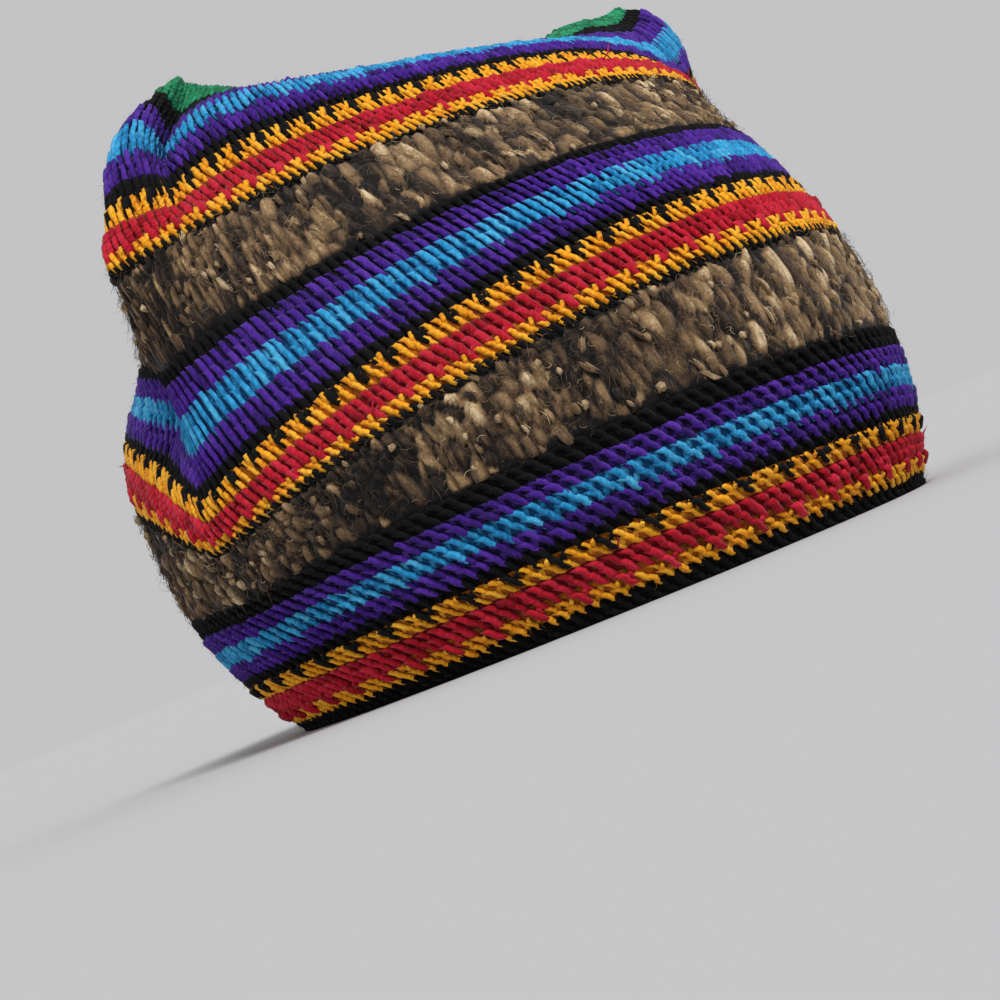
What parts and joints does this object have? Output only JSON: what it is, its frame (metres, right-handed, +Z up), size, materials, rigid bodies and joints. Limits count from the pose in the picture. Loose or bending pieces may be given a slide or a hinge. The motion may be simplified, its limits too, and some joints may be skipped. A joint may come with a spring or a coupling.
{
  "type": "knitted beanie",
  "caption": "Striped knitted beanie closed by a straight seam across the top, so its corners stand out as soft points; it keeps a head warm and stands on its rim.",
  "frame": {"origin": "on the ground under the middle of the hat's outline", "axes": "+X along the top seam, -Y towards the front panel, +Z up from the rim"},
  "size_m": [0.2132, 0.193, 0.157],
  "materials": {
    "black": "matte knitted yarn",
    "gold": "matte knitted yarn",
    "red": "matte knitted yarn",
    "purple": "matte knitted yarn",
    "turquoise": "matte knitted yarn",
    "green": "matte knitted yarn",
    "wool": "fuzzy undyed handspun wool"
  },
  "bodies": {
    "root": {"rim_band": "black", "gold_lower_1": "gold", "red_middle_1": "red", "gold_upper_1": "gold", "black_line_1": "black", "purple_lower_1": "purple", "turquoise_middle_1": "turquoise", "purple_upper_1": "purple", "black_edge_1": "black", "wool_1": "wool", "black_join_1": "black", "gold_lower_2": "gold", "red_middle_2": "red", "gold_upper_2": "gold", "black_line_2": "black", "purple_lower_2": "purple", "turquoise_middle_2": "turquoise", "purple_upper_2": "purple", "black_edge_2": "black", "wool_2": "wool", "black_join_2": "black", "gold_lower_3": "gold", "red_middle_3": "red", "gold_upper_3": "gold", "black_line_3": "black", "purple_lower_3": "purple", "turquoise_middle_3": "turquoise", "purple_upper_3": "purple", "black_edge_3": "black", "green_top": "green"}
  },
  "joints": []
}
